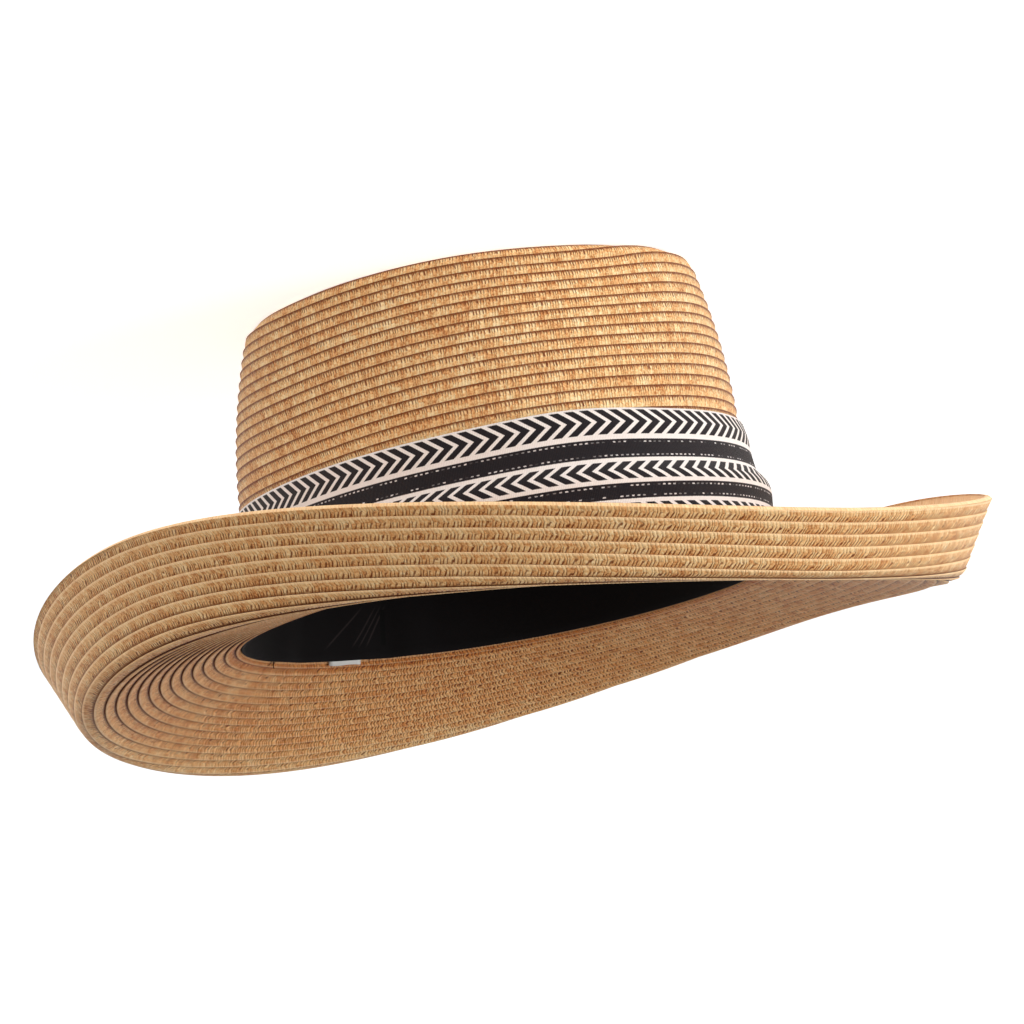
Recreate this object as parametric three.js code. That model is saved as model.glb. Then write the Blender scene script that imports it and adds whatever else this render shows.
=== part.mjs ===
// Straw hat with a cloth band, kept crown down on its flat tip with the head opening up.
// Millimetres, +Z up, front of the hat toward -Y, origin at the middle of the flat tip.
// Plan sizes go outward from the head oval. Depths go down from the head opening to the tip.
// Directions are turns in degrees: 0 is the front, 90 the +X side, 180 the back.
import * as THREE from "three";

// Head opening, to the inner face of the straw. Squareness 2 is a plain ellipse.
const HEAD_LENGTH = 200;
const HEAD_WIDTH = 167;
const HEAD_SQUARENESS = 2.1;

// Wall thicknesses and the gap left between neighbouring pieces.
const STRAW = 2;
const CLOTH = 1;
const GAP = 0.3;

// Crown, from the head opening to the flat tip. Its wall draws in by the waist under the band
// and swells by the bulge above it.
const CROWN_DEPTH = 104.7;
const SHOULDER_R = 5.6;
const WAIST = 1.3;
const WALL_BULGE = 2;

// Brim, measured along its surface, and the radius of its soft fold.
const BRIM_WIDTH = 88;
const FOLD_R = 6.5;

// Cloth band round the foot of the crown. The pleat is its widest soft fold.
const BAND_FOOT = 3.4;
const BAND_TOP = 44.2;
const PLEAT = 2.8;

// Sweatband and the small tab that shows past its edge.
const SWEATBAND_EDGE = 0.4;
const SWEATBAND_DEPTH = 33;
const TAB_WIDTH = 13;
const TAB_DEPTH = 9;
const TAB_SHOWS = 1.3;
const TAB_THICKNESS = 1;
const TAB_TURN = 178;

// Mesh steps: round the hat, up the crown under the band, along the legs and the fold of the
// brim, and over the shoulder. The crown above the band takes as many steps as a leg.
const TURN_STEPS = 72;
const WALL_STEPS = 4;
const LEG_STEPS = 3;
const FOLD_STEPS = 6;
const SHOULDER_STEPS = 4;

// Shape by direction, eight even turns from the front.
// slope: rise of the brim's inner leg, degrees. fall: drop of its outer leg, degrees.
// width: share of the brim width. fold: middle of the fold, also as a share of the brim width.
// lean: how far the crown leans in at the band's top, as a share of the crown depth.
// tip: the same at the shoulder. pleat: share of the full pleat.
const DIRECTIONS = [
  { slope: 22.3, fall: 52.2, width: 0.985, fold: 0.728, lean: 0.06, tip: 0.248, pleat: 0.8 },
  { slope: 13.2, fall: 56.8, width: 0.99, fold: 0.664, lean: 0.056, tip: 0.212, pleat: 0.5 },
  { slope: 10.4, fall: 68.0, width: 0.99, fold: 0.586, lean: 0.056, tip: 0.13, pleat: 0.35 },
  { slope: 22.1, fall: 64.6, width: 1, fold: 0.667, lean: 0.057, tip: 0.15, pleat: 0.3 },
  { slope: 28.3, fall: 53.5, width: 1, fold: 0.756, lean: 0.058, tip: 0.172, pleat: 0.5 },
  { slope: 18.6, fall: 55.8, width: 1, fold: 0.673, lean: 0.062, tip: 0.115, pleat: 0.8 },
  { slope: 12.1, fall: 65.3, width: 0.99, fold: 0.572, lean: 0.065, tip: 0.07, pleat: 0.9 },
  { slope: 19.0, fall: 61.8, width: 0.975, fold: 0.638, lean: 0.067, tip: 0.138, pleat: 0.8 },
];

// Section of the cloth band. height: share of its width from the brim up.
// swell: share of the pleat that it stands out.
const BAND_ROWS = [
  { height: 0, swell: 0 },
  { height: 0.25, swell: 0.12 },
  { height: 0.36, swell: 0.6 },
  { height: 0.43, swell: 1 },
  { height: 0.51, swell: 0.95 },
  { height: 0.6, swell: 0.1 },
  { height: 0.75, swell: 0 },
  { height: 0.87, swell: 0.2 },
  { height: 1, swell: 0 },
];

// Creases of the sweatband: where, how wide and how far it stands off the crown.
const CREASES = [
  { turn: 158, spread: 5, lean: 0.9 },
  { turn: 178, spread: 10, lean: 1.7 },
  { turn: 196, spread: 5, lean: 1.1 },
];

const radians = THREE.MathUtils.degToRad;
const mix = THREE.MathUtils.lerp;

// Smooth curve through the eight direction rows that closes on itself after one turn.
function byDirection(column, turn) {
  return DIRECTIONS.reduce((sum, row, i) => {
    const a = radians(turn - (360 * i) / DIRECTIONS.length);
    const wave = 1 + 2 * (Math.cos(a) + Math.cos(2 * a) + Math.cos(3 * a)) + Math.cos(4 * a);
    return sum + (row[column] * wave) / DIRECTIONS.length;
  }, 0);
}

// Point a given distance outside the head oval and a given depth below the head opening.
function place(turn, out, depth) {
  const s = Math.sin(radians(turn));
  const c = Math.cos(radians(turn));
  const n = HEAD_SQUARENESS;
  const k = (Math.abs(c) ** n + Math.abs(s) ** n) ** (-1 / n);
  const halfWidth = HEAD_WIDTH / 2;
  const halfLength = HEAD_LENGTH / 2;
  const normal = new THREE.Vector2(
    (Math.sign(s) * Math.abs(s * k) ** (n - 1)) / halfWidth,
    (-Math.sign(c) * Math.abs(c * k) ** (n - 1)) / halfLength,
  ).normalize();
  const x = halfWidth * s * k + normal.x * out;
  const y = -halfLength * c * k + normal.y * out;
  return new THREE.Vector3(x, y, CROWN_DEPTH - depth);
}

// Outward position of the crown's outer face at a depth above its shoulder.
function crownFace(turn, depth) {
  const bandLean = CROWN_DEPTH * byDirection("lean", turn);
  const tipLean = CROWN_DEPTH * byDirection("tip", turn);
  if (depth <= BAND_TOP) {
    const t = depth / BAND_TOP;
    return mix(STRAW, -bandLean, t) - WAIST * 4 * t * (1 - t);
  }
  const u = (depth - BAND_TOP) / (CROWN_DEPTH - SHOULDER_R - BAND_TOP);
  return mix(-bandLean, -tipLean, u) + WALL_BULGE * 4 * u * (1 - u);
}

// Closed solid from rings of points, wrapped from the last ring back to the first.
// A ring of one point closes that end as a fan instead.
function loft(rings) {
  const points = rings.flat();
  const starts = rings.map((ring, i) => rings.slice(0, i).reduce((sum, r) => sum + r.length, 0));
  const faces = [];
  rings.forEach((ring, i) => {
    const j = (i + 1) % rings.length;
    const next = rings[j];
    if (ring.length === 1 && next.length === 1) {
      return;
    }
    const steps = Math.max(ring.length, next.length);
    for (let a = 0; a < steps; a += 1) {
      const b = (a + 1) % steps;
      const at = (r, start, step) => start + (r.length === 1 ? 0 : step);
      const corners = [at(ring, starts[i], a), at(ring, starts[i], b)];
      corners.push(at(next, starts[j], b), at(next, starts[j], a));
      if (ring.length > 1) {
        faces.push([corners[0], corners[1], corners[2]]);
      }
      if (next.length > 1) {
        faces.push([corners[0], corners[2], corners[3]]);
      }
    }
  });
  return solid(points, faces);
}

// Indexed geometry with its faces turned outward.
function solid(points, faces) {
  const volume = faces.reduce(
    (sum, [a, b, c]) => sum + points[a].dot(points[b].clone().cross(points[c])),
    0,
  );
  const order = volume > 0 ? faces : faces.map(([a, b, c]) => [a, c, b]);
  const geometry = new THREE.BufferGeometry().setFromPoints(points);
  geometry.setIndex(order.flat());
  geometry.computeVertexNormals();
  return geometry;
}

const turns = Array.from({ length: TURN_STEPS }, (_, i) => (360 * i) / TURN_STEPS);

// Solid that goes all round, from a function that gives the section at each turn.
function around(section) {
  const sections = turns.map((turn) => section(turn).map(([out, depth]) => place(turn, out, depth)));
  return sections[0].map((_, i) => sections.map((points) => points[i]));
}

// Middle line of the brim's upper face, as moves of a length at an angle below level.
function brimMoves(turn) {
  const slope = radians(byDirection("slope", turn));
  const bend = slope + radians(byDirection("fall", turn));
  const inner = BRIM_WIDTH * byDirection("fold", turn) - (FOLD_R * bend) / 2;
  const outer = BRIM_WIDTH * byDirection("width", turn) - inner - FOLD_R * bend;
  const chord = 2 * FOLD_R * Math.sin(bend / FOLD_STEPS / 2);
  const legs = (length, angle) => Array(LEG_STEPS).fill({ length: length / LEG_STEPS, angle });
  const fold = Array.from({ length: FOLD_STEPS }, (_, i) => {
    return { length: chord, angle: (bend * (i + 0.5)) / FOLD_STEPS - slope };
  });
  return [...legs(inner, -slope), ...fold, ...legs(outer, bend - slope)];
}

function brimSection(turn) {
  const moves = brimMoves(turn);
  const upper = [[0, 0]];
  const lower = [[0, STRAW / Math.cos(moves[0].angle)]];
  let out = 0;
  let depth = 0;
  moves.forEach(({ length, angle }, i) => {
    out += length * Math.cos(angle);
    depth += length * Math.sin(angle);
    const next = moves[i + 1] ?? moves[i];
    const lie = (angle + next.angle) / 2;
    upper.push([out, depth]);
    lower.push([out - STRAW * Math.sin(lie), depth + STRAW * Math.cos(lie)]);
  });
  const edge = moves.at(-1).angle;
  const ends = [upper.at(-1), lower.at(-1)];
  const nose = [
    (ends[0][0] + ends[1][0]) / 2 + (STRAW / 4) * Math.cos(edge),
    (ends[0][1] + ends[1][1]) / 2 + (STRAW / 4) * Math.sin(edge),
  ];
  return [...upper, nose, ...lower.reverse()];
}

// Depth of the crown's lower edge, which stands off the sloping brim by the gap.
function crownFoot(turn, inset) {
  const slope = radians(byDirection("slope", turn));
  const level = STRAW / Math.cos(slope) + GAP;
  const out = crownFace(turn, level) - inset;
  return level - out * Math.tan(slope);
}

// One face of the crown from the brim to the flat tip, set in from the outer face by a thickness.
function crownSide(turn, inset) {
  const shoulder = CROWN_DEPTH - SHOULDER_R;
  const foot = crownFoot(turn, inset);
  const wall = [foot];
  for (let i = 1; i <= WALL_STEPS; i += 1) {
    wall.push((BAND_TOP * i) / WALL_STEPS);
  }
  for (let i = 1; i <= LEG_STEPS; i += 1) {
    wall.push(mix(BAND_TOP, shoulder, i / LEG_STEPS));
  }
  const side = wall.map((depth) => [crownFace(turn, depth) - inset, depth]);
  const centre = crownFace(turn, shoulder) - SHOULDER_R;
  const radius = SHOULDER_R - inset;
  for (let i = 1; i <= SHOULDER_STEPS; i += 1) {
    const a = (Math.PI / 2) * (i / SHOULDER_STEPS);
    side.push([centre + radius * Math.cos(a), shoulder + radius * Math.sin(a)]);
  }
  return side;
}

function crownShell() {
  const outside = around((turn) => crownSide(turn, 0));
  const inside = around((turn) => crownSide(turn, STRAW));
  const tip = [new THREE.Vector3(0, 0, 0)];
  const tipInside = [new THREE.Vector3(0, 0, STRAW)];
  return loft([tip, ...outside.reverse(), ...inside, tipInside]);
}

function bandSection(turn) {
  const swell = PLEAT * byDirection("pleat", turn);
  const rows = BAND_ROWS.map((row) => {
    const depth = mix(BAND_FOOT, BAND_TOP, row.height);
    return [crownFace(turn, depth) + GAP + swell * row.swell, depth];
  });
  const face = rows.map(([out, depth]) => [out + CLOTH, depth]);
  return [...rows, ...face.reverse()];
}

// How far the sweatband stands off the crown at a turn.
function creaseLean(turn) {
  return CREASES.reduce((most, crease) => {
    const away = (turn - crease.turn) / crease.spread;
    return Math.max(most, crease.lean * Math.exp(-(away ** 2)));
  }, 0);
}

function sweatbandSection(turn) {
  const depths = [SWEATBAND_EDGE, SWEATBAND_DEPTH / 3, (SWEATBAND_DEPTH * 2) / 3, SWEATBAND_DEPTH];
  const back = depths.map((depth) => {
    const rest = crownFace(turn, depth) - STRAW - GAP;
    return [rest - creaseLean(turn) * (1 - depth / SWEATBAND_DEPTH / 2), depth];
  });
  const face = back.map(([out, depth]) => [out - CLOTH, depth]);
  return [...back, ...face.reverse()];
}

// The tab is a flat strip that hangs between the sweatband and the straw.
function sizeTab() {
  const geometry = new THREE.BoxGeometry(TAB_WIDTH, TAB_THICKNESS, TAB_DEPTH);
  const foot = place(TAB_TURN, 0, 0);
  const inward = place(TAB_TURN, -1, 0).sub(foot);
  const lean = Math.atan2(STRAW - crownFace(TAB_TURN, TAB_DEPTH), TAB_DEPTH);
  geometry.translate(0, 0, TAB_SHOWS - TAB_DEPTH / 2);
  geometry.rotateX(lean);
  geometry.rotateZ(Math.atan2(inward.y, inward.x) - Math.PI / 2);
  const stand = foot.addScaledVector(inward, 2 * GAP + TAB_THICKNESS / 2);
  geometry.translate(stand.x, stand.y, stand.z);
  return geometry;
}

function piece(name, geometry, color, roughness) {
  const material = new THREE.MeshStandardMaterial({ color, roughness });
  const mesh = new THREE.Mesh(geometry, material);
  mesh.name = name;
  return mesh;
}

const group = new THREE.Group();
group.add(piece("crown", crownShell(), 0xcfa878, 0.75));
group.add(piece("brim", loft(around(brimSection)), 0xc79f6e, 0.75));
group.add(piece("hat_band", loft(around(bandSection)), 0x4a4644, 0.9));
group.add(piece("sweatband", loft(around(sweatbandSection)), 0x100c0d, 0.95));
group.add(piece("size_tab", sizeTab(), 0xf1efe9, 0.85));

export default group;
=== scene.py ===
"""Looks of the straw hat: braid rows, woven band, sweatband, tab, floor, light and camera.

Shapes are worked out in millimetres in the shared frame and turned into metres as they are made.
Turns are in degrees: 0 is the front (-Y), 90 the +X side, 180 the back.
Depths go down from the head opening to the crown's flat tip, which rests on the floor.
"""

import math

import bpy
import numpy as np
from mathutils import Matrix, Vector


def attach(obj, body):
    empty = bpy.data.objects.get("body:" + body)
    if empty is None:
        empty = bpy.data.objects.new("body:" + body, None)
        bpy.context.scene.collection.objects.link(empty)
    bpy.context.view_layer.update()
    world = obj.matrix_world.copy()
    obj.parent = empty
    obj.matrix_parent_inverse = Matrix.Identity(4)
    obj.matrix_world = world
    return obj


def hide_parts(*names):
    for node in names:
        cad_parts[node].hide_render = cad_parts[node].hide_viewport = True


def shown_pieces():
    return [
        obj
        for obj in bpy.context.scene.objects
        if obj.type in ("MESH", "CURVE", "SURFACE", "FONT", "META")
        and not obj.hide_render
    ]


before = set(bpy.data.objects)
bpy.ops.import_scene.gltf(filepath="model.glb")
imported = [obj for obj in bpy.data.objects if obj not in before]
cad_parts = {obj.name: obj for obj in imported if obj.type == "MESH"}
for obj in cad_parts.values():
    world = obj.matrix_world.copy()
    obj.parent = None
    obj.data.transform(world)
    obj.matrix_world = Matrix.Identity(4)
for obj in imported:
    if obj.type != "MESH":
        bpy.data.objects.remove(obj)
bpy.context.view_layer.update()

# Main sizes, the same as in the solid model.
HEAD_LENGTH, HEAD_WIDTH, SQUARE = 200, 167, 2.1
STRAW, GAP = 2, 0.3
CROWN_DEPTH, SHOULDER_R, WAIST, WALL_BULGE = 104.7, 5.6, 1.3, 2
BRIM_WIDTH, FOLD_R = 88, 6.5
BAND_FOOT, BAND_TOP, PLEAT = 3.4, 44.2, 2.8
SWEATBAND_EDGE, SWEATBAND_DEPTH = 0.4, 33
TAB_TURN, TAB_WIDTH, TAB_DEPTH, TAB_SHOWS = 178, 13, 9, 1.3

# Shape by direction, eight even turns from the front: the brim's slope and fall in degrees,
# its width and fold as shares, the crown's lean at the band and at the tip, and the pleat.
DIRECTIONS = {
    "slope": [22.3, 13.2, 10.4, 22.1, 28.3, 18.6, 12.1, 19.0],
    "fall": [52.2, 56.8, 68.0, 64.6, 53.5, 55.8, 65.3, 61.8],
    "width": [0.985, 0.99, 0.99, 1, 1, 1, 0.99, 0.975],
    "fold": [0.728, 0.664, 0.586, 0.667, 0.756, 0.673, 0.572, 0.638],
    "lean": [0.06, 0.056, 0.056, 0.057, 0.058, 0.062, 0.065, 0.067],
    "tip": [0.248, 0.212, 0.13, 0.15, 0.172, 0.115, 0.07, 0.138],
    "pleat": [0.8, 0.5, 0.35, 0.3, 0.5, 0.8, 0.9, 0.8],
}

MM_PER_M = 1000

# Braid: how many rows each part has, how many columns go once round, and the turn it starts at.
CROWN_ROWS, CROWN_COLUMNS, CROWN_START = 47, 330, 215
BRIM_ROWS, BRIM_COLUMNS, BRIM_START = 22, 420, 350
# Section of one lapped row: share across it from the tucked edge, height in mm, and the share
# that its look takes, which runs past 1 down the side of the raised edge, where painted shade goes.
ROW_SECTION = [(0, -0.5, 0), (0.3, -0.14, 0.3), (0.72, 0.2, 0.72), (0.93, 0.4, 0.93),
               (1, 0.25, 1), (1, -0.5, 1.25)]
# The same for the back of the crown's braid, and for the back of the brim's, whose look runs
# into the raised edge's painted highlight so that it is painted paler.
ROW_BACK = [(0, 0.3, 0.5), (0.08, -0.2, 0.58), (1, 0.2, 0.78)]
HIGHLIGHTED_BACK = [(0, 0.3, 0.66), (0.08, -0.2, 0.8), (1, 0.2, 0.98)]
# Row of the brim past which its relief is calmer, the rows that this takes to either side, and
# the share of the relief that is left.
CALM_ROW, CALM_SPREAD, CALM_RELIEF = 15, 2, 0.5
# How far the crown's braid lies inside the solid's face, so that its raised edges stay on it.
CROWN_INSET = 0.5
# Points of a section over the tip, round the shoulder, up the wall and across the brim.
TIP_POINTS, SHOULDER_POINTS, WALL_POINTS, BRIM_POINTS = 40, 9, 60, 265
# The look where the last row is cut off by the end of the path.
END_LOOK = 0.75
# Share of a row, to either side, that the direction of the path is taken over.
SLOPE_REACH = 0.15
# Faces smaller than this, in square mm, are left out.
MIN_AREA = 1e-3
# Edge strips: points across, the look at the first of them and its growth to the last, which put
# them in the raised edge's painted highlight, and the row number that marks them at the head
# opening and elsewhere.
EDGE_POINTS, EDGE_LOOK, EDGE_GROWTH, OPENING_ROW, OTHER_ROW = 5, 0.88, 0.06, 0.5, 99.5
# How far the edge strips bulge: at the crown's foot, at the rim and at the head opening, mm.
FOOT_BULGE, RIM_BULGE, OPENING_BULGE = 0.1, 0.4, 0.2


def by_direction(column, turn):
    """Value of a column of DIRECTIONS at a turn, on a smooth wave through its eight rows."""
    rows = DIRECTIONS[column]
    total = 0
    for i, value in enumerate(rows):
        a = np.radians(turn - 360 * i / len(rows))
        wave = 1 + 2 * (np.cos(a) + np.cos(2 * a) + np.cos(3 * a)) + np.cos(4 * a)
        total = total + value * wave / len(rows)
    return total


def place(turn, out, depth):
    """Points a distance outside the head oval and a depth below the head opening."""
    s, c = np.sin(np.radians(turn)), np.cos(np.radians(turn))
    k = (np.abs(c) ** SQUARE + np.abs(s) ** SQUARE) ** (-1 / SQUARE)
    half_w, half_l = HEAD_WIDTH / 2, HEAD_LENGTH / 2
    nx = np.sign(s) * np.abs(s * k) ** (SQUARE - 1) / half_w
    ny = -np.sign(c) * np.abs(c * k) ** (SQUARE - 1) / half_l
    size = np.hypot(nx, ny)
    x = half_w * s * k + nx / size * out
    y = -half_l * c * k + ny / size * out
    return np.stack(np.broadcast_arrays(x, y, CROWN_DEPTH - depth), -1)


def crown_face(turn, depth):
    """Outward position of the crown's outer face, down to the shoulder."""
    band_lean = CROWN_DEPTH * by_direction("lean", turn)
    tip_lean = CROWN_DEPTH * by_direction("tip", turn)
    t = depth / BAND_TOP
    low = STRAW - (STRAW + band_lean) * t - WAIST * 4 * t * (1 - t)
    u = (depth - BAND_TOP) / (CROWN_DEPTH - SHOULDER_R - BAND_TOP)
    high = -band_lean + (band_lean - tip_lean) * u + WALL_BULGE * 4 * u * (1 - u)
    return np.where(depth <= BAND_TOP, low, high)


def crown_path(turn, inset):
    """Sections of the crown from the middle of the tip to the brim, one a turn."""
    shoulder = CROWN_DEPTH - SHOULDER_R
    t = turn[:, None]
    centre = crown_face(t, shoulder) - SHOULDER_R
    arc = np.radians(np.linspace(90, 0, SHOULDER_POINTS))[None]
    radius = SHOULDER_R - inset
    bend = place(t, centre + radius * np.cos(arc), shoulder + radius * np.sin(arc))
    slope = np.radians(by_direction("slope", t))
    level = STRAW / np.cos(slope) + GAP
    foot = level - (crown_face(t, level) - inset) * np.tan(slope)
    depth = shoulder + (foot - shoulder) * np.linspace(0, 1, WALL_POINTS)[None, 1:]
    wall = place(t, crown_face(t, depth) - inset, depth)
    tip = bend[:, :1] * np.linspace(0, 1, TIP_POINTS)[None, :-1, None]
    tip[..., 2] = inset
    return np.concatenate([tip, bend, wall], 1)


def crown_outside(turn):
    """Sections of the crown's face that shows."""
    return crown_path(turn, CROWN_INSET)


def crown_inside(turn):
    """Sections of the face toward the hollow."""
    return crown_path(turn, STRAW)


def brim_path(turn, lower):
    """Sections of the brim from the head opening to the rim, on its upper or lower face."""
    slope = np.radians(by_direction("slope", turn))[:, None]
    bend = slope + np.radians(by_direction("fall", turn))[:, None]
    inner = BRIM_WIDTH * by_direction("fold", turn)[:, None] - FOLD_R * bend / 2
    share = np.linspace(0, 1, BRIM_POINTS)[None]
    s = BRIM_WIDTH * by_direction("width", turn)[:, None] * share
    lie = np.clip((s - inner) / FOLD_R, 0, bend) - slope
    step = np.diff(s, axis=1, prepend=0)
    half = (lie + np.roll(lie, 1, 1)) / 2
    half[:, :1] = -slope
    out = np.cumsum(step * np.cos(half), 1)
    depth = np.cumsum(step * np.sin(half), 1)
    if lower:
        out = out - STRAW * np.sin(lie)
        depth = depth + STRAW * np.cos(lie)
        out[:, :1], depth[:, :1] = 0, STRAW / np.cos(slope)
    return place(turn[:, None], out, depth)


def brim_upper(turn):
    """Sections of the brim's upper face, which runs on down the outside of its wall."""
    return brim_path(turn, False)


def brim_lower(turn):
    """Sections of the brim's lower face, toward the crown."""
    return brim_path(turn, True)


def run_length(line):
    """Length along a line of points, from 0 at its first."""
    return np.concatenate([[0], np.cumsum(np.linalg.norm(np.diff(line, axis=0), axis=1))])


def resample(section, share):
    """Points of one section at shares of its length."""
    along = run_length(section)
    along = along / along[-1]
    return np.stack([np.interp(share, along, section[:, axis]) for axis in range(3)], -1)


def add_mesh(name, points, faces, slot, uv, row=None):
    """Smooth mesh object from points in mm and a face array. uv and row are a value a point."""
    mesh = bpy.data.meshes.new(name)
    mesh.from_pydata((np.asarray(points) / MM_PER_M).tolist(), [], np.asarray(faces).tolist())
    layer = mesh.uv_layers.new(name="along_across")
    corner = np.zeros(len(mesh.loops), np.int32)
    mesh.loops.foreach_get("vertex_index", corner)
    layer.data.foreach_set("uv", np.asarray(uv, np.float32)[corner].ravel())
    if row is not None:
        data = mesh.attributes.new("row", "FLOAT", "POINT").data
        data.foreach_set("value", np.asarray(row, np.float32).ravel())
    mesh.shade_smooth()
    obj = bpy.data.objects.new(name, mesh)
    bpy.context.scene.collection.objects.link(obj)
    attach(obj, "root")
    return obj


def braid(path_of, rows, columns, start, section, outward, calm=1):
    """One long tape of braid wound round in lapped rows, from the path's start to its end.

    outward is 1 or -1, for the side that the relief stands on, and calm is the share of the
    relief that is left past the row CALM_ROW. Returns points, faces, the length along the tape
    with the look across it, and row numbers.
    """
    turn = start + 360 * np.arange(columns) / columns
    path = path_of(turn)
    across, height, look = np.array(section).T
    k = len(section)
    n = (rows + 1) * columns + 1
    r = np.arange(n) / columns
    share = (r[:, None] + across[None] - 1) / rows
    look = np.where(share >= 1, np.minimum(look, END_LOOK), look[None])
    share = np.clip(share, 0, 1)
    reach = SLOPE_REACH / rows
    points = np.zeros((n, k, 3))
    slope = np.zeros_like(points)
    for j in range(columns):
        ids = np.arange(j, n, columns)
        flat = share[ids].ravel()
        low = resample(path[j], np.clip(flat - reach, 0, 1))
        high = resample(path[j], np.clip(flat + reach, 0, 1))
        points[ids] = resample(path[j], flat).reshape(-1, k, 3)
        slope[ids] = (high - low).reshape(-1, k, 3)
    angle = np.radians(turn[np.arange(n) % columns])
    round_it = np.stack([np.cos(angle), np.sin(angle), np.zeros(n)], -1)[:, None]
    normal = np.cross(slope, round_it)
    size = np.linalg.norm(normal, axis=2, keepdims=True)
    normal = normal / np.maximum(size, 1e-9) * outward
    length = run_length(points[:, k // 2])
    relief = np.interp(r, [CALM_ROW - CALM_SPREAD, CALM_ROW + CALM_SPREAD], [1, calm])
    points = points + normal * (relief[:, None] * height[None])[..., None]
    uv = np.stack(np.broadcast_arrays(length[:, None], look), -1)
    row = np.broadcast_to(r[:, None], share.shape)
    a = (np.arange(n - 1)[:, None] * k + np.arange(k - 1)[None]).ravel()
    faces = np.stack([a, a + 1, a + 1 + k, a + k], -1)
    q = points.reshape(-1, 3)[faces]
    area = np.linalg.norm(np.cross(q[:, 2] - q[:, 0], q[:, 3] - q[:, 1]), axis=1)
    return points.reshape(-1, 3), faces[area > MIN_AREA], uv.reshape(-1, 2), row.ravel()


def join(parts):
    """Several sets of points, faces, uv and rows as one."""
    points, faces, uv, row = zip(*parts)
    shift = np.cumsum([0, *[len(p) for p in points[:-1]]])
    faces = [f + s for f, s in zip(faces, shift)]
    return [np.concatenate(x) for x in (points, faces, uv, row)]


def edge_strip(path_a, path_b, columns, end, bulge):
    """Rounded strip between the ends of two faces: the rim, or the edge of the head opening."""
    turn = 360 * np.arange(columns + 1) / columns
    a, b = path_a(turn), path_b(turn)
    pa, pb = a[:, end], b[:, end]
    beside = -2 if end == -1 else 1
    away = pa - a[:, beside]
    away /= np.linalg.norm(away, axis=1, keepdims=True)
    t = np.linspace(0, 1, EDGE_POINTS)
    points = [pa + (pb - pa) * x + away * bulge * math.sin(math.pi * x) for x in t]
    points = np.stack(points, 1)
    look = EDGE_LOOK + EDGE_GROWTH * t[None]
    uv = np.stack(np.broadcast_arrays(run_length(pa)[:, None], look), -1)
    row = np.full(points.shape[:2], OPENING_ROW if end == 0 else OTHER_ROW)
    k = len(t)
    i = (np.arange(columns)[:, None] * k + np.arange(k - 1)[None]).ravel()
    faces = np.stack([i, i + k, i + k + 1, i + 1], -1)
    return points.reshape(-1, 3), faces, uv.reshape(-1, 2), row.ravel()


# Crown and brim: the braid on the face that shows, the back of it, and the cut edges.
crown_parts = join([
    braid(crown_outside, CROWN_ROWS, CROWN_COLUMNS, CROWN_START, ROW_SECTION, 1),
    braid(crown_inside, CROWN_ROWS, CROWN_COLUMNS // 2, CROWN_START, ROW_BACK, -1),
    edge_strip(crown_outside, crown_inside, CROWN_COLUMNS, -1, FOOT_BULGE),
])
crown = add_mesh("crown_braid", *crown_parts[:2], "straw", *crown_parts[2:])
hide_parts("crown")

brim_parts = join([
    braid(brim_upper, BRIM_ROWS, BRIM_COLUMNS, BRIM_START, ROW_SECTION, 1, CALM_RELIEF),
    braid(brim_lower, BRIM_ROWS, BRIM_COLUMNS // 2, BRIM_START, HIGHLIGHTED_BACK, -1),
    edge_strip(brim_upper, brim_lower, BRIM_COLUMNS, -1, RIM_BULGE),
    edge_strip(brim_upper, brim_lower, BRIM_COLUMNS, 0, OPENING_BULGE),
])
brim = add_mesh("brim_braid", *brim_parts[:2], "straw", *brim_parts[2:])
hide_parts("brim")


def smooth_rows(knots, at):
    """Smooth curve through (position, value) knots."""
    x, y = np.array(knots).T
    slope = np.gradient(y, x)
    i = np.clip(np.searchsorted(x, at) - 1, 0, len(x) - 2)
    w = x[i + 1] - x[i]
    t = (at - x[i]) / w
    return (
        (2 * t**3 - 3 * t**2 + 1) * y[i]
        + (t**3 - 2 * t**2 + t) * w * slope[i]
        + (-2 * t**3 + 3 * t**2) * y[i + 1]
        + (t**3 - t**2) * w * slope[i + 1]
    )


def ring_cloth(name, inner, outer, columns, start):
    """Closed cloth ring from two faces, with its length round and its width.

    inner and outer give the sections of a face at turns, as (columns, points).
    """
    turn = start + 360 * np.arange(columns + 1) / columns
    a, b = outer(turn), inner(turn)
    points = np.concatenate([a, b[:, ::-1]], 1)
    k = points.shape[1]
    length = run_length(a[:, a.shape[1] // 2])
    width = run_length(a[columns // 3])
    v = np.concatenate([width, width[::-1]])
    uv = np.stack(np.broadcast_arrays(length[:, None], v[None]), -1)
    i = (np.arange(columns)[:, None] * k + np.arange(k)[None]).ravel()
    beside = (np.arange(columns)[:, None] * k + (np.arange(k)[None] + 1) % k).ravel()
    faces = np.stack([i, i + k, beside + k, beside], -1)
    obj = add_mesh(name, points.reshape(-1, 3), faces, name, uv.reshape(-1, 2))
    return obj, length[-1], width[-1]


# Cloth band: section as (share of the width from the brim, share of the pleat).
BAND_KNOTS = [(0, 0), (0.25, 0.12), (0.36, 0.6), (0.43, 1), (0.51, 0.95), (0.56, 0.45),
              (0.6, 0.08), (0.66, -0.02), (0.75, 0), (0.87, 0.2), (1, 0)]
BAND_COLUMNS, BAND_POINTS, BAND_START = 540, 44, 262
# Stand-off of its two faces, mm.
BAND_INNER, BAND_OUTER = 0.2, 1.0
# The band's top edge stands a little higher near the front, on its +X side: turn, spread, mm.
RISE_TURN, RISE_SPREAD, RISE_HEIGHT = 22, 17, 1.3
# The pleat wanders: waves as (height, waves a turn, start), and their share of the width.
PLEAT_WAVES, WANDER_SHARE = [(0.35, 3, 40), (0.25, 7, 0)], 0.012


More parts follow.
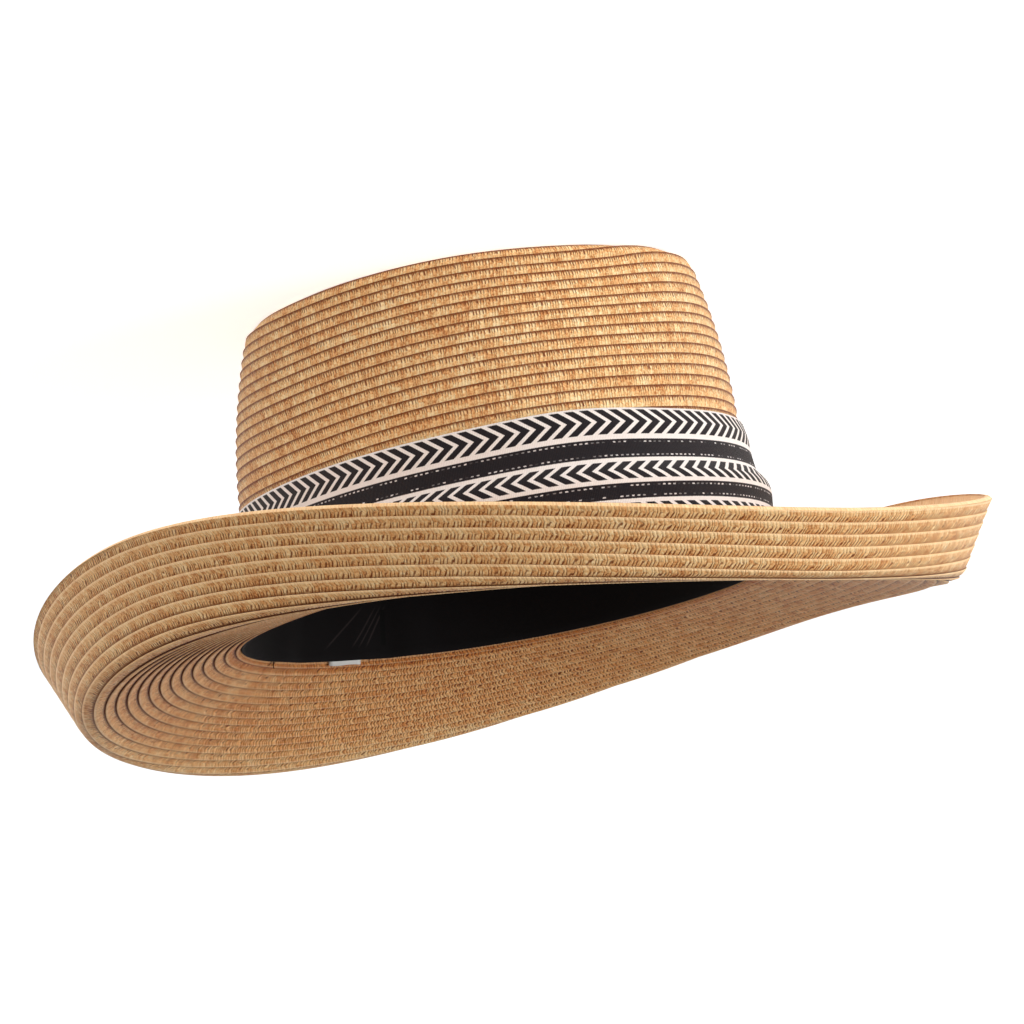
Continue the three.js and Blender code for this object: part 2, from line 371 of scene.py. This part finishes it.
def band_face(thick):
    """Face of the band at a stand-off, as a function of the turns."""
    def face(turn):
        t = turn[:, None]
        share = np.linspace(1, 0, BAND_POINTS)[None]
        off = (t - RISE_TURN + 180) % 360 - 180
        top = BAND_TOP + RISE_HEIGHT * np.exp(-(off / RISE_SPREAD) ** 2)
        depth = BAND_FOOT + (top - BAND_FOOT) * share
        wander = sum(h * np.sin(np.radians(k * t + at)) for h, k, at in PLEAT_WAVES)
        swell = smooth_rows(BAND_KNOTS, np.clip(share + WANDER_SHARE * wander, 0, 1))
        out = crown_face(t, depth) + GAP + PLEAT * by_direction("pleat", t) * swell + thick
        return place(t, out, depth)
    return face


band, band_length, band_width = ring_cloth(
    "band_cloth", band_face(BAND_INNER), band_face(BAND_OUTER), BAND_COLUMNS, BAND_START)
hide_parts("hat_band")

# Sweatband: columns, points down it and thickness in mm.
SWEAT_COLUMNS, SWEAT_POINTS, SWEAT_CLOTH = 360, 14, 0.9
# Its creases: turn, spread and stand-off.
CREASES = [(158, 5, 0.9), (178, 10, 1.7), (196, 5, 1.1)]
# Ripples at the back: turn, spread, height, waves a turn and slant.
RIPPLE_TURN, RIPPLE_SPREAD, RIPPLE_HEIGHT, RIPPLE_WAVES, RIPPLE_SLANT = 180, 25, 0.6, 24, 4


def sweat_face(thick):
    """Face of the sweatband at a stand-off, as a function of the turns."""
    def face(turn):
        t = turn[:, None]
        depth = np.linspace(SWEATBAND_EDGE, SWEATBAND_DEPTH, SWEAT_POINTS)[None]
        lean = np.max([h * np.exp(-(((t - at) / wide) ** 2)) for at, wide, h in CREASES], 0)
        near = np.exp(-(((t - RIPPLE_TURN) / RIPPLE_SPREAD) ** 2))
        ripple = 0.5 * near * np.sin(np.radians(RIPPLE_WAVES * t + RIPPLE_SLANT * depth))
        out = crown_face(t, depth) - STRAW - GAP - lean * (1 - depth / SWEATBAND_DEPTH / 2)
        out = out - thick - (ripple + 0.5) * RIPPLE_HEIGHT * near
        return place(t, out, depth)
    return face


sweat, sweat_length, sweat_width = ring_cloth(
    "sweatband_cloth", sweat_face(SWEAT_CLOTH), sweat_face(0), SWEAT_COLUMNS, 0)
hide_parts("sweatband")


def opening_frame(turn):
    """Edge of the head opening at a turn, with the directions along it and inward."""
    foot = place(np.array([turn]), 0, 0)[0]
    inward = place(np.array([turn]), -1, 0)[0] - foot
    along = np.array([-inward[1], inward[0], 0])
    return foot, along, inward


# Tab: points along and down it, thickness and stand-off in mm, how much it curls, how far it
# leans in on its way down, and the height and wave of the edge that shows, as shares of it.
TAB_COLUMNS, TAB_ROWS, TAB_CLOTH, TAB_OFF, TAB_CURL, TAB_LEAN = 9, 6, 0.8, 0.65, 0.2, 0.178
TAB_RISE, TAB_WAVE = 0.72, 0.12

foot, along, inward = opening_frame(TAB_TURN)
tab_points, tab_faces = [], []
for side in (0, TAB_CLOTH):
    for z in np.linspace(0, 1, TAB_ROWS):
        for x in np.linspace(-0.5, 0.5, TAB_COLUMNS):
            curl = 0.25 * math.cos(math.pi * x * 2) + 0.2 * math.sin(9 * x + 2 * z)
            lean = TAB_LEAN * TAB_DEPTH * z
            off = TAB_OFF + side + TAB_CURL * curl * (1 - z) + lean
            rise = TAB_SHOWS * (TAB_RISE + TAB_WAVE * math.sin(7 * x)) - TAB_DEPTH * z
            p = foot + along * TAB_WIDTH * x + inward * off
            tab_points.append(p + np.array([0, 0, rise]))
nx, nz = TAB_COLUMNS, TAB_ROWS
for side in (0, 1):
    for j in range(nz - 1):
        for i in range(nx - 1):
            a = side * nx * nz + j * nx + i
            quad = [a, a + 1, a + 1 + nx, a + nx]
            tab_faces.append(quad if side else quad[::-1])
border = [*range(nx)]
border += [j * nx + nx - 1 for j in range(1, nz)]
border += [(nz - 1) * nx + i for i in range(nx - 2, -1, -1)]
border += [j * nx for j in range(nz - 2, 0, -1)]
for a, b in zip(border, border[1:] + border[:1]):
    tab_faces.append([a, b, b + nx * nz, a + nx * nz])
tab_uv = np.array(tab_points)[:, [0, 2]]
tab = add_mesh("tab_cloth", tab_points, tab_faces, "tab_cloth", tab_uv)
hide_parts("size_tab")

# Loose sewing ends at the sweatband's edge in the head opening: turn, length and drift, mm.
THREADS = [(152.6, 1.5, 1.3), (153.4, 2.4, -1.6), (154.2, 1.2, 0.4), (174, 1.1, 0.9),
           (175, 1.1, -0.7), (185.5, 0.7, 0.5)]
THREAD_R, THREAD_SIDES, THREAD_POINTS = 0.16, 6, 6
# Where a thread starts inside the edge and below it, and how far it leans out, mm.
THREAD_INSIDE, THREAD_BELOW, THREAD_OUT = 0.7, 0.6, 1.2

for i, (turn, length, drift) in enumerate(THREADS):
    foot, along, inward = opening_frame(turn)
    t = np.linspace(0, 1, THREAD_POINTS)[:, None]
    line = foot + inward * (THREAD_INSIDE - THREAD_OUT * t) + along * drift * t**2
    line = line + np.array([0, 0, 1]) * (length * t - THREAD_BELOW)
    a = 2 * np.pi * np.arange(THREAD_SIDES)[:, None] / THREAD_SIDES
    tube = line[:, None] + THREAD_R * (np.cos(a) * along + np.sin(a) * inward)
    faces = [[j * THREAD_SIDES + k, j * THREAD_SIDES + (k + 1) % THREAD_SIDES,
              (j + 1) * THREAD_SIDES + (k + 1) % THREAD_SIDES, (j + 1) * THREAD_SIDES + k]
             for j in range(THREAD_POINTS - 1) for k in range(THREAD_SIDES)]
    for end in (0, (THREAD_POINTS - 1) * THREAD_SIDES):
        faces += [[end, end + 1, end + 2, end + 3], [end, end + 3, end + 4, end + 5]]
    flat_uv = np.zeros((THREAD_POINTS * THREAD_SIDES, 2))
    add_mesh(f"thread_{i}", tube.reshape(-1, 3), faces, "sweatband_cloth", flat_uv)


class Tree:
    """Node tree built by calls, whose inputs are sockets or plain values."""

    def __init__(self, tree):
        self.tree = tree

    def put(self, value, socket):
        if isinstance(value, bpy.types.NodeSocket):
            self.tree.links.new(value, socket)
        elif value is not None:
            socket.default_value = value

    def node(self, kind, *values):
        node = self.tree.nodes.new("ShaderNode" + kind)
        for value, socket in zip(values, node.inputs):
            self.put(value, socket)
        return node

    def math(self, kind, a, b=None, clamp=False):
        node = self.node("Math", a, b)
        node.operation = kind
        node.use_clamp = clamp
        return node.outputs[0]

    def plus(self, a, b):
        return self.math("ADD", a, b)

    def minus(self, a, b):
        return self.math("SUBTRACT", a, b)

    def times(self, a, b, clamp=False):
        return self.math("MULTIPLY", a, b, clamp)

    def over(self, a, b):
        return self.math("DIVIDE", a, b)

    def most(self, a, b):
        return self.math("MAXIMUM", a, b)

    def distance(self, a, b):
        return self.math("ABSOLUTE", self.minus(a, b))

    def floor(self, x):
        return self.math("FLOOR", x)

    def fract(self, x):
        return self.math("FRACT", x)

    def beat(self, x, pitch):
        """Wave that falls to 0 once a pitch and rises to 1 between."""
        return self.math("ABSOLUTE", self.math("SINE", self.times(x, math.pi / pitch)))

    def band(self, x, low, high):
        """0 below low and 1 above high, smooth between, or the other way round."""
        node = self.node("MapRange", x, low, high)
        node.interpolation_type = "SMOOTHSTEP"
        return node.outputs[0]

    def span(self, x, at_0, at_1):
        """Even change from one value where x is 0 to another where it is 1."""
        return self.node("MapRange", x, 0.0, 1.0, at_0, at_1).outputs[0]

    def vector(self, x, y, z=0.0):
        return self.node("CombineXYZ", x, y, z).outputs[0]

    def dot(self, a, b):
        node = self.node("VectorMath", a, b)
        node.operation = "DOT_PRODUCT"
        return node.outputs["Value"]

    def mix(self, share, a, b, kind="MIX"):
        node = self.tree.nodes.new("ShaderNodeMix")
        node.data_type = "RGBA"
        node.blend_type = kind
        self.put(share, node.inputs[0])
        self.put(a, node.inputs[6])
        self.put(b, node.inputs[7])
        return node.outputs[2]

    def noise(self, vector, scale, detail=2.0):
        node = self.tree.nodes.new("ShaderNodeTexNoise")
        self.put(vector, node.inputs["Vector"])
        node.inputs["Scale"].default_value = scale
        node.inputs["Detail"].default_value = detail
        return node.outputs[0]

    def random(self, vector):
        node = self.tree.nodes.new("ShaderNodeTexWhiteNoise")
        node.noise_dimensions = "3D"
        self.put(vector, node.inputs[0])
        return node.outputs[0]

    def ramp(self, x, stops):
        node = self.node("ValToRGB", x)
        stops_of = node.color_ramp.elements
        while len(stops_of) < len(stops):
            stops_of.new(0.5)
        for stop, (at, color) in zip(stops_of, stops):
            stop.position = at
            stop.color = color
        return node.outputs[0]


class Material(Tree):
    """Material with a roughness and a specular level."""

    def __init__(self, name, roughness, specular):
        self.material = bpy.data.materials.new(name)
        self.material.use_nodes = True
        super().__init__(self.material.node_tree)
        self.shader = self.tree.nodes["Principled BSDF"]
        self.shader.inputs["Roughness"].default_value = roughness
        self.shader.inputs["Specular IOR Level"].default_value = specular

    def uv(self):
        """Length along a row or a cloth, and the place across it."""
        node = self.tree.nodes.new("ShaderNodeUVMap")
        node.uv_map = "along_across"
        split = self.node("SeparateXYZ", node.outputs[0])
        return split.outputs[0], split.outputs[1]

    def attribute(self, name):
        node = self.tree.nodes.new("ShaderNodeAttribute")
        node.attribute_name = name
        return node.outputs["Fac"]

    def base(self, color):
        self.put(color, self.shader.inputs["Base Color"])

    def bump(self, height, strength, distance):
        node = self.tree.nodes.new("ShaderNodeBump")
        node.inputs["Strength"].default_value = strength
        node.inputs["Distance"].default_value = distance
        self.put(height, node.inputs["Height"])
        self.put(node.outputs[0], self.shader.inputs["Normal"])


def rgb(r, g, b):
    """Colour from 0-255 display values."""
    def linear(v):
        v /= 255
        return v / 12.92 if v <= 0.04045 else ((v + 0.055) / 1.055) ** 2.4
    return (linear(r), linear(g), linear(b), 1)


# Plaited straw. plait: pitch of the strands along a row, mm. skew: how far they lean over half a
# row, mm. reach: share of the row that the painted shade in the gaps between strands covers from
# the tucked edge. slant: strength of the painted shade in the finer gaps in the other half. tone:
# how much strands differ. line: strength of the painted shade line along the tucked edge. edge:
# strength of the painted highlight on the raised edge. shade: darkening of the rows nearest the
# head opening. calm: how far the looks of the underside and of the outer wall part.
# ridge: height of the strands. first: darkening of the first row at the head opening. vary:
# spread of the straw's own colour. tint: multiplies it all.
STRAW_CROWN = {"plait": 1.02, "skew": 0.15, "reach": 0.42, "slant": 0.1, "tone": 0.15,
               "line": 0.95, "edge": 0.15, "shade": 0, "calm": 0, "ridge": 0.8,
               "first": 0, "vary": 0.9, "tint": rgb(255, 255, 255)}
STRAW_BRIM = {"plait": 1.28, "skew": 0.8, "reach": 0.48, "slant": 0.25, "tone": 0.15,
              "line": 0.65, "edge": 0.65, "shade": 0.5, "calm": 1, "ridge": 0.5,
              "first": 1, "vary": 0.8, "tint": rgb(255, 245, 238)}
# Scales of the straw's noises, along the tape in 1/mm and across it or from row to row: drift
# of the plait, grain of the strands and patches of colour.
DRIFT, GRAIN, PATCH = (0.35, 3.7), (1.7, 5.0), (0.16, 5.1)
# Middle of the noise that picks the colour, and the colours as (place on the ramp, colour).
STRAW_MIDDLE = 0.51
STRAW_RAMP = [(0.34, rgb(184, 116, 62)), (0.44, rgb(224, 168, 108)),
              (0.54, rgb(242, 204, 147)), (0.66, rgb(253, 231, 184))]
# Painted shade in the gaps between strands and on the side of the step, and the painted highlight
# of the raised edge.
GAP_SHADE_COLOR, STEP_SHADE_COLOR, EDGE_HIGHLIGHT_COLOR = rgb(116, 56, 18), rgb(92, 44, 16), rgb(252, 216, 168)
SHADE_COLOR, FIRST_COLOR = rgb(255, 214, 176), rgb(232, 206, 176)
# Rows of the brim between which the underside's look starts, and the outer wall's.
UNDERSIDE_ROWS, WALL_ROWS = (16, 11), (16, 18)
# Pitch of the twist along a raised edge, mm.
TWIST = 0.9


def straw_material(name, look):
    """Plaited straw: strands slant both ways from the middle of a row, with painted shade in the
    gaps between.
    """
    n = Material(name, 0.5, 0.2)
    u, v = n.uv()
    row_at = n.attribute("row")
    row = n.floor(row_at)
    drift = n.noise(n.vector(n.times(u, DRIFT[0]), n.times(row, DRIFT[1])), 1.0)
    grain = n.noise(n.vector(n.times(u, GRAIN[0]), n.times(v, GRAIN[1]), row), 1.0, 3.0)
    patch = n.noise(n.vector(n.times(u, PATCH[0]), n.times(row, PATCH[1])), 1.0, 3.0)
    across = n.plus(v, n.times(n.minus(grain, 0.5), 0.25))

    # Strands, counted along the row, and a tone for each.
    lean = n.times(n.distance(v, 0.5), 2 * look["skew"] / look["plait"])
    strands = n.plus(n.minus(n.over(u, look["plait"]), lean), n.times(drift, 3.0))
    wave = n.beat(strands, 1)
    tone = n.random(n.vector(n.floor(strands), row, n.math("GREATER_THAN", v, 0.5)))
    mixed = n.plus(n.times(patch, 0.4), n.times(grain, 0.6))
    mixed = n.plus(mixed, n.times(n.minus(tone, 0.5), look["tone"]))
    mixed = n.plus(STRAW_MIDDLE, n.times(n.minus(mixed, STRAW_MIDDLE), look["vary"]))
    color = n.mix(1.0, n.ramp(mixed, STRAW_RAMP), look["tint"], "MULTIPLY")

    # Painted shade in the gaps between strands, and a painted shade line along the tucked edge,
    # where it tucks under the row beside it.
    under = n.times(n.band(row_at, *UNDERSIDE_ROWS), look["calm"])
    outer = n.times(n.band(row_at, *WALL_ROWS), look["calm"])
    between = n.band(wave, 0.78, 0.25)
    reach = n.plus(look["reach"] - 0.15, n.times(tone, 0.3))
    gap = n.times(between, n.band(n.minus(across, reach), 0.1, -0.08))
    gap = n.times(gap, n.plus(0.5, n.times(drift, 0.8)))
    gap = n.times(gap, n.plus(1.0, n.times(under, 0.3)), clamp=True)
    slant = n.times(between, n.plus(look["slant"], n.times(under, 0.15)))
    depth = n.minus(n.plus(look["line"], n.times(under, 0.2)), n.times(outer, 0.35))
    line = n.times(n.band(across, 0.3, 0.08), depth)
    color = n.mix(n.most(n.most(gap, slant), line), color, GAP_SHADE_COLOR)

    # Shade under the brim, and the first row at the head opening.
    color = n.mix(n.times(under, look["shade"]), color, SHADE_COLOR, "MULTIPLY")
    from_edge = n.minus(n.plus(row_at, v), 1.0)
    first = n.times(n.band(from_edge, 1.3, 1.05), look["first"])
    color = n.mix(first, color, FIRST_COLOR, "MULTIPLY")

    # Painted highlight along the raised edge, broken by its twist along its length, and painted
    # shade on the side of the step below it.
    pale = n.times(n.band(across, 0.78, 0.86), look["edge"])
    pale = n.times(pale, n.minus(1.0, n.times(under, 0.5)))
    pale = n.times(pale, n.band(n.beat(u, TWIST), -0.4, 0.5))
    color = n.mix(pale, color, EDGE_HIGHLIGHT_COLOR)
    step = n.times(n.band(v, 1.02, 1.12), n.minus(1.0, n.times(outer, 0.7)))
    n.base(n.mix(step, color, STEP_SHADE_COLOR))

    height = n.plus(n.times(wave, look["ridge"]), n.times(grain, 0.6))
    height = n.times(height, n.plus(1.0, n.times(under, 0.8)))
    n.bump(height, 0.9, 0.0004)
    return n.material


crown.data.materials.append(straw_material("straw_crown", STRAW_CROWN))
brim.data.materials.append(straw_material("straw_brim", STRAW_BRIM))

# Woven band: stripes from the top edge down, as widths in mm, and which of them are chevrons,
# with the way that they point, or dark.
STRIPES = [0.5, 8.4, 1.4, 6.4, 1.3, 6.8, 1.1, 5.2, 1.1, 7.5]
CHEVRON_STRIPES, DARK_STRIPES = ((1, -1), (5, 1), (9, -1)), (3, 7)
CHEVRON_PITCH, CHEVRON_LEAN, CHEVRON_DARK = 5.1, 1.35, 0.63
# Softness of the edges of the two kinds of stripe, mm.
CHEVRON_SOFT, STRIPE_SOFT = 0.25, 0.2
# Pale picks near the edges of a dark stripe: distance from the edge and pitch, mm.
PICK_INSET, PICK_PITCH = 1.0, 1.9
# Pitch of the weave round the band and across it, mm.
WEFT, WARP = 0.55, 0.42
WHITE_CLOTH = rgb(222, 214, 210), rgb(248, 245, 243)
DARK_CLOTH = rgb(12, 8, 14), rgb(44, 38, 46)
PICK_COLOR = rgb(226, 220, 220)


def band_material():
    """Woven band: three chevron stripes and two dark stripes edged with pale picks."""
    n = Material("woven_band", 0.88, 0.25)
    u, v = n.uv()
    edges = np.cumsum([0, *STRIPES])
    frays = n.times(n.noise(n.vector(u, v), 2.5), 0.25)
    y = n.plus(v, n.minus(frays, 0.12))

    def stripe(i, soft):
        return n.times(n.band(y, edges[i], edges[i] + soft),
                       n.band(y, edges[i + 1], edges[i + 1] - soft))

    ink, picks = 0.0, 0.0
    for i, direction in CHEVRON_STRIPES:
        off = n.distance(y, (edges[i] + edges[i + 1]) / 2)
        phase = n.plus(n.times(u, direction), n.times(off, CHEVRON_LEAN))
        phase = n.fract(n.over(phase, CHEVRON_PITCH))
        bar = n.times(n.band(phase, 0.0, 0.05), n.band(phase, CHEVRON_DARK + 0.05, CHEVRON_DARK))
        ink = n.most(ink, n.times(bar, stripe(i, CHEVRON_SOFT)))
    for i in DARK_STRIPES:
        ink = n.most(ink, stripe(i, STRIPE_SOFT))
        for at in (edges[i] + PICK_INSET, edges[i + 1] - PICK_INSET):
            near = n.band(n.distance(y, at), 0.28, 0.12)
            count = n.plus(n.over(u, PICK_PITCH), n.times(frays, 2.0))
            dash = n.fract(count)
            dash = n.times(n.band(dash, 0.05, 0.15), n.band(dash, 0.62, 0.5))
            keep = n.band(n.random(n.vector(n.floor(count), at)), 0.05, 0.9)
            picks = n.most(picks, n.times(n.times(near, dash), keep))
    weave = n.times(n.beat(u, WEFT), n.beat(y, WARP))
    speck = n.noise(n.vector(u, y), 3.0, 3.0)
    color = n.mix(ink, n.mix(weave, *WHITE_CLOTH), n.mix(n.times(weave, speck), *DARK_CLOTH))
    n.base(n.mix(picks, color, PICK_COLOR))
    n.shader.inputs["Sheen Weight"].default_value = 0.1
    n.bump(n.plus(weave, n.times(ink, 0.4)), 0.6, 0.0002)
    return n.material


band.data.materials.append(band_material())

# Plain cloth: pitch of its weave, mm, and the colours of the sweatband and of the tab.
PLAIN_PITCH = 0.4
BLACK, TAB_WHITE = (rgb(6, 3, 4), rgb(18, 13, 15)), (rgb(225, 222, 218), rgb(248, 246, 243))
# The seam's slit, and the painted highlights of the creases by it: start along the cloth, slant and
# half width, mm.
SEAM_TURN = 188.2
SEAM_CREASES = [(-4, 0.6, 0.6), (-6.5, 0.7, 0.5), (-9, 0.75, 0.6), (-18, 1.1, 0.8)]
# Depth at which the creases meet their start, the colour of their painted highlights, and the
# colour of the slit's painted shade.
CREASE_DEPTH, CREASE_HIGHLIGHT_COLOR, SLIT_SHADE_COLOR = 10.0, rgb(42, 35, 35), rgb(0, 0, 0)


def plain_cloth(name, dark, pale, sheen, seam=None):
    """Plain fine weave. seam is the place of a slit along the cloth, painted as shade, with painted
    highlights along slanted creases by it.
    """
    n = Material(name, 0.9, 0.2)
    u, v = n.uv()
    weave = n.times(n.beat(u, PLAIN_PITCH), n.beat(v, PLAIN_PITCH))
    cloud = n.noise(n.vector(u, v), 0.15, 3.0)
    color = n.mix(n.times(weave, cloud), dark, pale)
    if seam is not None:
        away = n.minus(u, seam)
        # Painted highlights along the creases.
        for start, slant, width in SEAM_CREASES:
            at = n.plus(n.times(n.minus(v, CREASE_DEPTH), slant), start)
            near = n.band(n.distance(away, at), width, 0.1)
            ends = n.times(n.band(v, 3.5, 7.0), n.band(v, 20.0, 14.0))
            color = n.mix(n.times(near, ends), color, CREASE_HIGHLIGHT_COLOR)
        # Painted shade in the slit.
        near = n.band(n.math("ABSOLUTE", away), 1.1, 0.8)
        ends = n.times(n.band(v, 4.5, 5.0), n.band(v, 17.5, 17.0))
        color = n.mix(n.times(near, ends), color, SLIT_SHADE_COLOR)
    n.base(color)
    n.shader.inputs["Sheen Weight"].default_value = sheen
    n.bump(weave, 0.5, 0.00015)
    return n.material


seam_at = sweat_length * SEAM_TURN / 360
black_cloth = plain_cloth("black_cloth", *BLACK, 0.02)
sweat.data.materials.append(plain_cloth("seamed_cloth", *BLACK, 0.02, seam_at))
tab.data.materials.append(plain_cloth("white_cloth", *TAB_WHITE, 0.1))
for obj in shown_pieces():
    if obj.name.startswith("thread_"):
        obj.data.materials.append(black_cloth)

# Floor that curves up far behind the hat, seen from the camera: how far it runs level to the
# front and to the back, its half width, and the radius of the bend and height of the wall, m.
CAMERA_TURN = 36
FLOOR_FRONT, FLOOR_BACK, FLOOR_HALF, FLOOR_BEND, FLOOR_WALL = 3.0, 2.4, 3.5, 0.9, 1.6
profile = [(-FLOOR_FRONT, 0), (0, 0), (FLOOR_BACK, 0)]
profile += [(FLOOR_BACK + FLOOR_BEND * math.sin(a), FLOOR_BEND * (1 - math.cos(a)))
            for a in np.radians(np.linspace(8, 90, 12))]
profile.append((FLOOR_BACK + FLOOR_BEND, FLOOR_WALL))
a = math.radians(CAMERA_TURN)
behind = Vector((-math.sin(a), math.cos(a), 0))
beside = Vector((behind.y, -behind.x, 0))
floor_points = [behind * away + beside * half + Vector((0, 0, up))
                for away, up in profile for half in (-FLOOR_HALF, FLOOR_HALF)]
floor_faces = [[2 * i, 2 * i + 1, 2 * i + 3, 2 * i + 2] for i in range(len(profile) - 1)]
floor_mesh = bpy.data.meshes.new("floor")
floor_mesh.from_pydata(floor_points, [], floor_faces)
floor_mesh.shade_smooth()
floor = bpy.data.objects.new("floor", floor_mesh)
bpy.context.scene.collection.objects.link(floor)
floor_look = Material("pale_floor", 0.9, 0.1)
floor_look.base((0.9, 0.9, 0.9, 1))
floor_look.shader.inputs["Emission Color"].default_value = (1, 1, 1, 1)
floor_look.shader.inputs["Emission Strength"].default_value = 0.7
floor.data.materials.append(floor_look.material)

# Soft studio light: a pale surround that is dimmer overhead, dimmer and warmer toward the
# picture's left, and a large low key light.
HORIZON, ZENITH, DIM = 0.78, 0.28, 0.75
DIM_SIDE, WHITE, WARM = (0.81, 0.59, 0), (1, 1, 1, 1), (1, 0.88, 0.74, 1)
world = bpy.data.worlds.new("surround")
bpy.context.scene.world = world
world.use_nodes = True
n = Tree(world.node_tree)
background = world.node_tree.nodes["Background"]
where = n.node("TexCoord").outputs["Generated"]
toward = n.dot(where, DIM_SIDE)
overhead = n.span(n.node("SeparateXYZ", where).outputs[2], HORIZON, ZENITH)
n.put(n.mix(toward, WHITE, WARM), background.inputs[0])
n.put(n.times(overhead, n.span(toward, 1.0, DIM)), background.inputs[1])

# Key light: turn round the hat, height and distance of the light and height it aims at, side
# of its square, m, power and colour.
KEY_TURN, KEY_HEIGHT, KEY_DISTANCE, KEY_AIM, KEY_SIZE = 325, 0.25, 1.5, 0.07, 0.8
KEY_POWER, KEY_COLOR = 15, (0.97, 1.0, 1.0)
light = bpy.data.lights.new("key", "AREA")
light.shape = "SQUARE"
light.size = KEY_SIZE
light.energy = KEY_POWER
light.color = KEY_COLOR
key = bpy.data.objects.new("key", light)
a = math.radians(KEY_TURN)
key.location = (KEY_DISTANCE * math.sin(a), -KEY_DISTANCE * math.cos(a), KEY_HEIGHT)
key.rotation_mode = "QUATERNION"
key.rotation_quaternion = (Vector((0, 0, KEY_AIM)) - key.location).to_track_quat("-Z", "Y")
bpy.context.scene.collection.objects.link(key)

# Camera: fitted to the outline, rolled about half a turn because the hat is kept crown down.
DISTANCE, RISE, ROLL = 1150, 9.292, 171.33
AIM = (-4.92, -3.57, CROWN_DEPTH - 31.44)
FOCAL, SENSOR = 121.53, 36
t, e, r = (math.radians(x) for x in (CAMERA_TURN, RISE, ROLL))
back = Vector((math.sin(t) * math.cos(e), -math.cos(t) * math.cos(e), math.sin(e)))
right = Vector((math.cos(t), math.sin(t), 0))
up = back.cross(right)
cam_right = right * math.cos(r) + up * math.sin(r)
cam_up = up * math.cos(r) - right * math.sin(r)
camera_data = bpy.data.cameras.new("camera")
camera_data.lens = FOCAL
camera_data.sensor_width = SENSOR
camera = bpy.data.objects.new("camera", camera_data)
rotation = Matrix((cam_right, cam_up, back)).transposed().to_4x4()
spot = (Vector(AIM) + back * DISTANCE) / MM_PER_M
camera.matrix_world = Matrix.Translation(spot) @ rotation
bpy.context.scene.collection.objects.link(camera)
bpy.context.scene.camera = camera
bpy.context.scene.view_settings.view_transform = "Standard"
